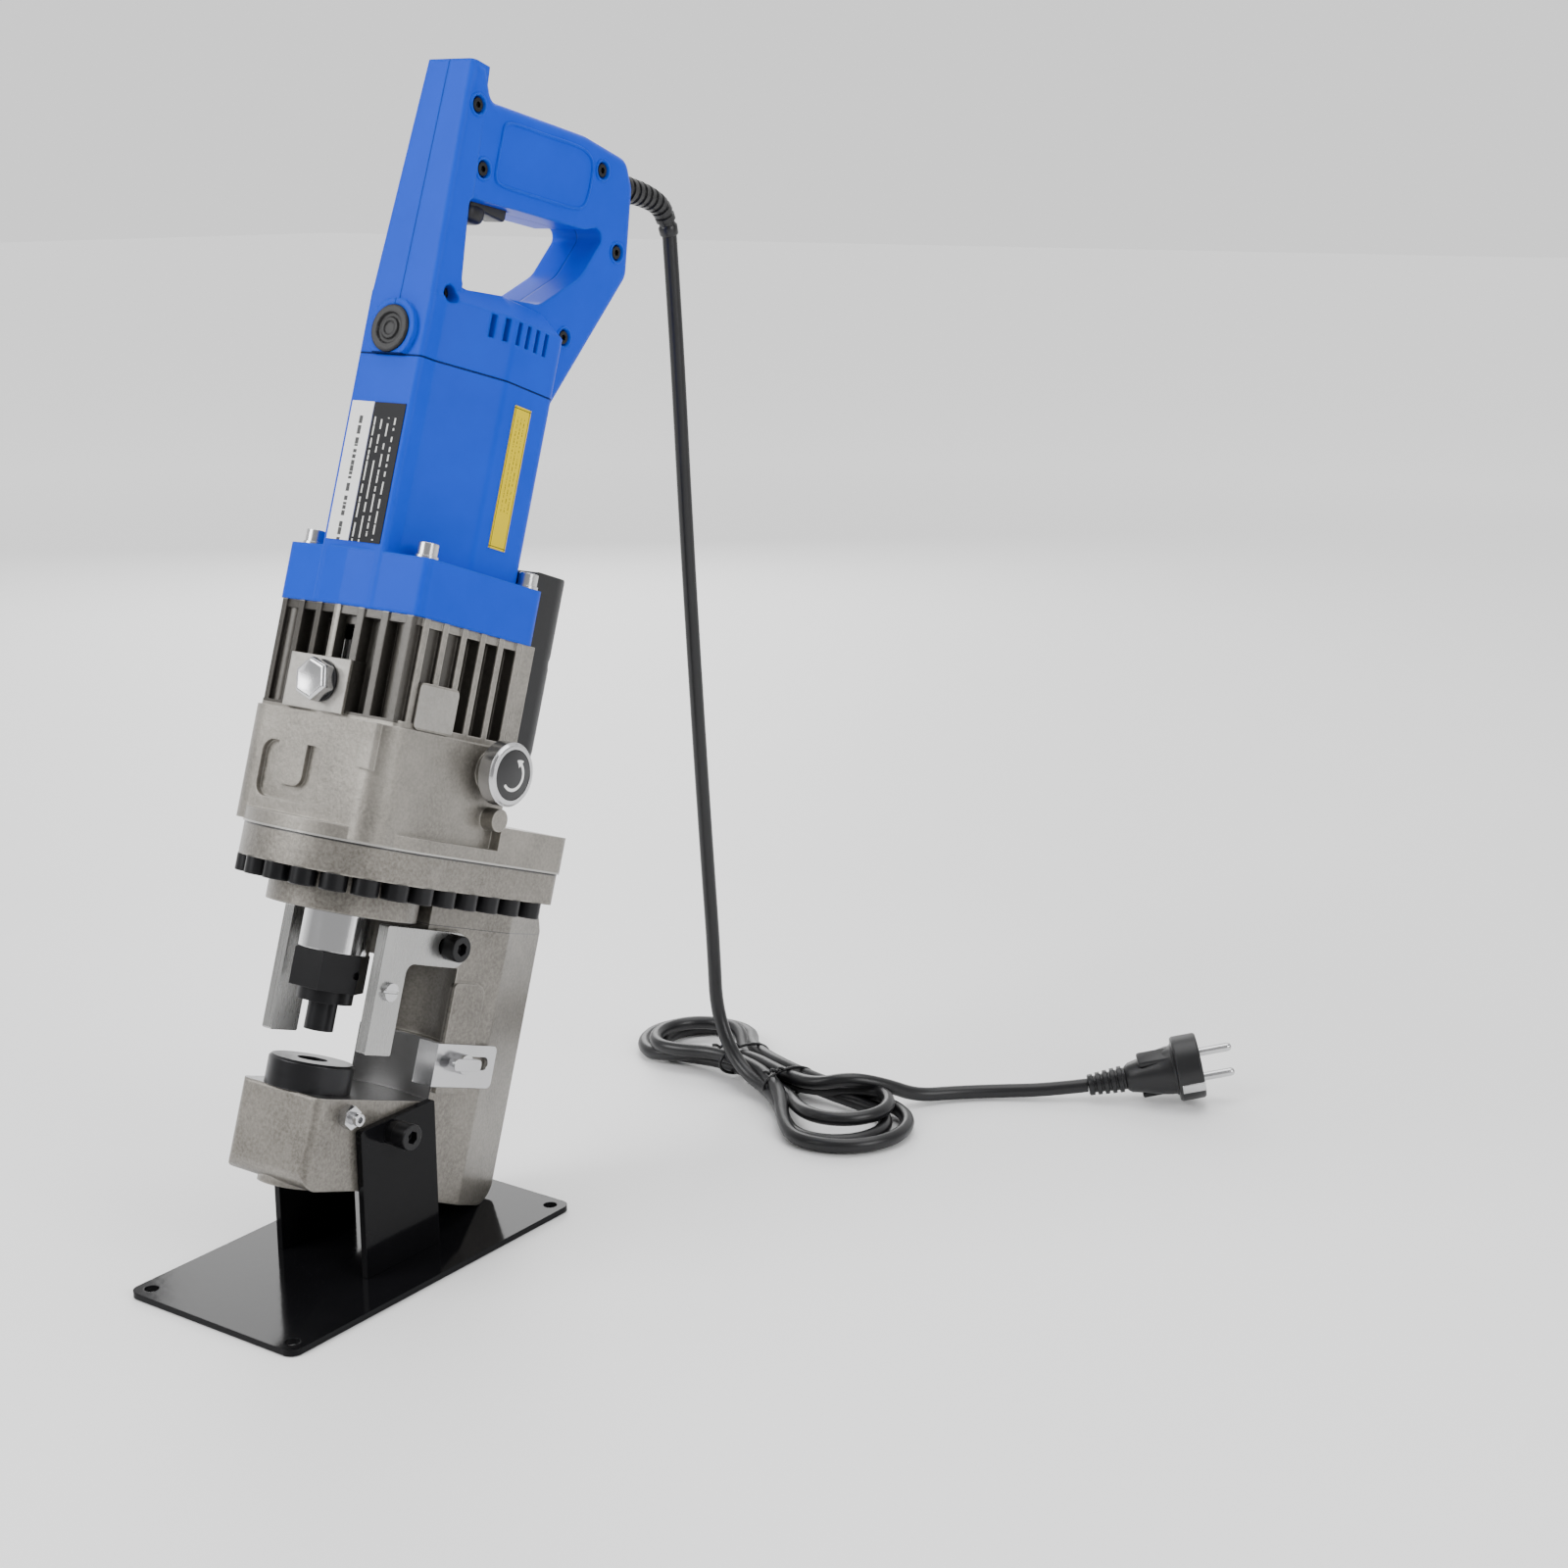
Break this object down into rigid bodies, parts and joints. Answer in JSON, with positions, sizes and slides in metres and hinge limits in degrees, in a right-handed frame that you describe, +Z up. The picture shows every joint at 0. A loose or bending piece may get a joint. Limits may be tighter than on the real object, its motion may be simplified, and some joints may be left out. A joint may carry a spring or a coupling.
{
  "type": "electro-hydraulic hole puncher",
  "caption": "Hand-held electro-hydraulic hole puncher for flat steel, with a C-frame, ram, punch and die, on a black bench stand, with its mains lead and plug.",
  "frame": {"origin": "centre of the four base-plate holes, on the underside of the base plate", "axes": "+Z up, +Y towards the D-handle and throat back, +X to the side with the release knob"},
  "size_m": [0.3465, 0.5323, 0.5689],
  "materials": {
    "black_enamel": "gloss black",
    "cast_steel": "sand-cast, clear lacquered, warm grey",
    "cast_aluminium": "cast, clear lacquered, warm grey",
    "black_oxide": "black oxide",
    "bright_steel": "ground and brushed",
    "hard_chrome": "ground hard chrome",
    "tool_steel": "dark hardened",
    "zinc_steel": "bright zinc",
    "blue_shell": "satin gloss blue",
    "black_plastic": "fine satin",
    "black_rubber": "satin",
    "label_film": "printed film, no lettering",
    "yellow_film": "printed film, no lettering",
    "copper": "bare copper",
    "laminated_steel": "laminated"
  },
  "bodies": {
    "root": {"bearing_plate": "cast_aluminium", "bearings": "bright_steel", "brush_cap": "black_plastic", "brushes": "copper", "c_frame": "cast_steel", "collar_bolts": "zinc_steel", "collar_washers": "zinc_steel", "cord_guard": "black_rubber", "cord_hank": "black_rubber", "cord_lead": "black_rubber", "cord_tail": "black_rubber", "cord_ties": "black_rubber", "die": "tool_steel", "die_lock_nut": "zinc_steel", "die_lock_screw": "zinc_steel", "flange_screws": "black_oxide", "front_label": "label_film", "handle_left": "blue_shell", "handle_right": "blue_shell", "handle_screws": "black_oxide", "motor_housing": "blue_shell", "oil_plug": "zinc_steel", "oil_plug_washer": "copper", "plug_body": "black_rubber", "plug_pins": "zinc_steel", "pump_housing": "cast_aluminium", "release_ball": "bright_steel", "reservoir_bladder": "black_rubber", "reservoir_cover": "black_plastic", "reservoir_screws": "black_oxide", "return_spring": "bright_steel", "rod_seal": "black_rubber", "side_label": "yellow_film", "stand_bolts": "black_oxide", "stand_plate": "black_enamel", "stand_spacers": "black_oxide", "stator": "laminated_steel", "stripper_left": "bright_steel", "stripper_leg_screws": "zinc_steel", "stripper_right": "bright_steel", "stripper_slot_screws": "black_oxide", "switch_block": "black_plastic", "upright_left": "black_enamel", "upright_right": "black_enamel"},
    "ram_unit": {"ram": "hard_chrome", "piston_seal": "black_rubber", "punch": "tool_steel", "punch_nut": "black_oxide", "punch_set_screw": "black_oxide"},
    "trigger_lever": {"trigger": "black_plastic"},
    "release_valve": {"release_knob": "zinc_steel", "release_spindle": "bright_steel"},
    "rotor": {"armature": "laminated_steel", "fan": "black_plastic"},
    "eccentric_drive": {"drive_gear": "bright_steel", "eccentric_shaft": "bright_steel"},
    "plunger_left": {"pump_plunger_left": "bright_steel"},
    "plunger_right": {"pump_plunger_right": "bright_steel"},
    "back_gauge": {"gauge_plate": "zinc_steel"},
    "gauge_clamp": {"gauge_screw": "zinc_steel"}
  },
  "joints": [
    {"name": "ram_slide", "type": "slide", "parent": "root", "child": "ram_unit", "axis": [0, -0.3256, -0.9455], "range_m": [0, 0.017], "stiffness_N_per_m": 2500, "springref_m": -0.02, "deforming": ["return_spring"]},
    {"name": "trigger_squeeze", "type": "slide", "parent": "root", "child": "trigger_lever", "axis": [0, 0.3256, 0.9455], "range_m": [0, 0.005], "stiffness_N_per_m": 600, "springref_m": -0.006},
    {"name": "release_turn", "type": "hinge", "parent": "root", "child": "release_valve", "pos_m": [0, 0.05459, 0.24021], "axis": [1, 0, 0], "range_deg": [0, 120]},
    {"name": "rotor_spin", "type": "hinge", "parent": "root", "child": "rotor", "pos_m": [0, 0.06975, 0.36719], "axis": [0, 0.3256, 0.9455], "continuous": true},
    {"name": "eccentric_spin", "type": "hinge", "parent": "root", "child": "eccentric_drive", "pos_m": [0, 0.02317, 0.29334], "axis": [0, 0.3256, 0.9455], "continuous": true},
    {"name": "plunger_left_stroke", "type": "slide", "parent": "root", "child": "plunger_left", "axis": [-1, 0, 0], "range_m": [0, 0.002]},
    {"name": "plunger_right_stroke", "type": "slide", "parent": "root", "child": "plunger_right", "axis": [1, 0, 0], "range_m": [0, 0.002]},
    {"name": "gauge_slide", "type": "slide", "parent": "root", "child": "back_gauge", "axis": [0, -0.9455, 0.3256], "range_m": [0, 0.02]},
    {"name": "gauge_screw_turn", "type": "hinge", "parent": "root", "child": "gauge_clamp", "pos_m": [0.032, 0.04363, 0.09169], "axis": [1, 0, 0], "range_deg": [0, 180]}
  ],
  "couplings": [
    {"joint": "eccentric_spin", "follows": "rotor_spin", "ratio": -0.25}
  ]
}
